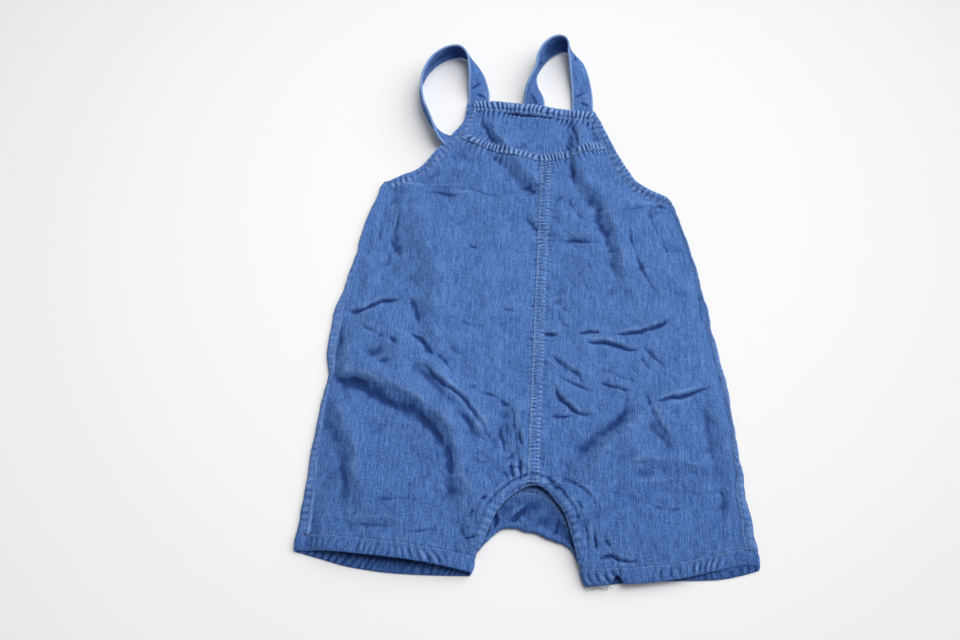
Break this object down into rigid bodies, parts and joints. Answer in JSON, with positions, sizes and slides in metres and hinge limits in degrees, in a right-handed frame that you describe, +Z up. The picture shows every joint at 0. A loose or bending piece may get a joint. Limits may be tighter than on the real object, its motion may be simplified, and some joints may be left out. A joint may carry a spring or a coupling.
{
  "type": "child's suspender shorts laid flat",
  "caption": "Child's light denim suspender shorts laid flat on their back, with a pointed bib yoke, elastic bib top, sewn loop straps, felled seams and hemmed legs.",
  "frame": {"origin": "on the surface the garment lies on, under the seam down the front, at the middle of the body's height; it is a point of the back panel's flat underside", "axes": "+Z up from the surface; +Y up the garment from the leg hems to the straps; +X to the wearer's left"},
  "size_m": [0.3629, 0.5356, 0.021],
  "materials": {
    "denim": "light washed denim, matt, with a fine vertical slub",
    "denim_seams": "the same denim in several stitched layers, puckered and faded along the seams"
  },
  "bodies": {
    "root": {"front_panel_right": "denim", "front_panel_left": "denim", "bib_yoke": "denim", "back_panel": "denim", "strap_right": "denim", "strap_left": "denim", "centre_front_seam": "denim_seams", "yoke_seam": "denim_seams", "bib_casing": "denim_seams", "armhole_front_right": "denim_seams", "armhole_front_left": "denim_seams", "armhole_back_right": "denim_seams", "armhole_back_left": "denim_seams", "back_top_hem": "denim_seams", "side_seam_right": "denim_seams", "side_seam_left": "denim_seams", "hem_right": "denim_seams", "hem_left": "denim_seams", "crotch_edge_front": "denim_seams", "crotch_edge_back": "denim_seams"}
  },
  "joints": []
}
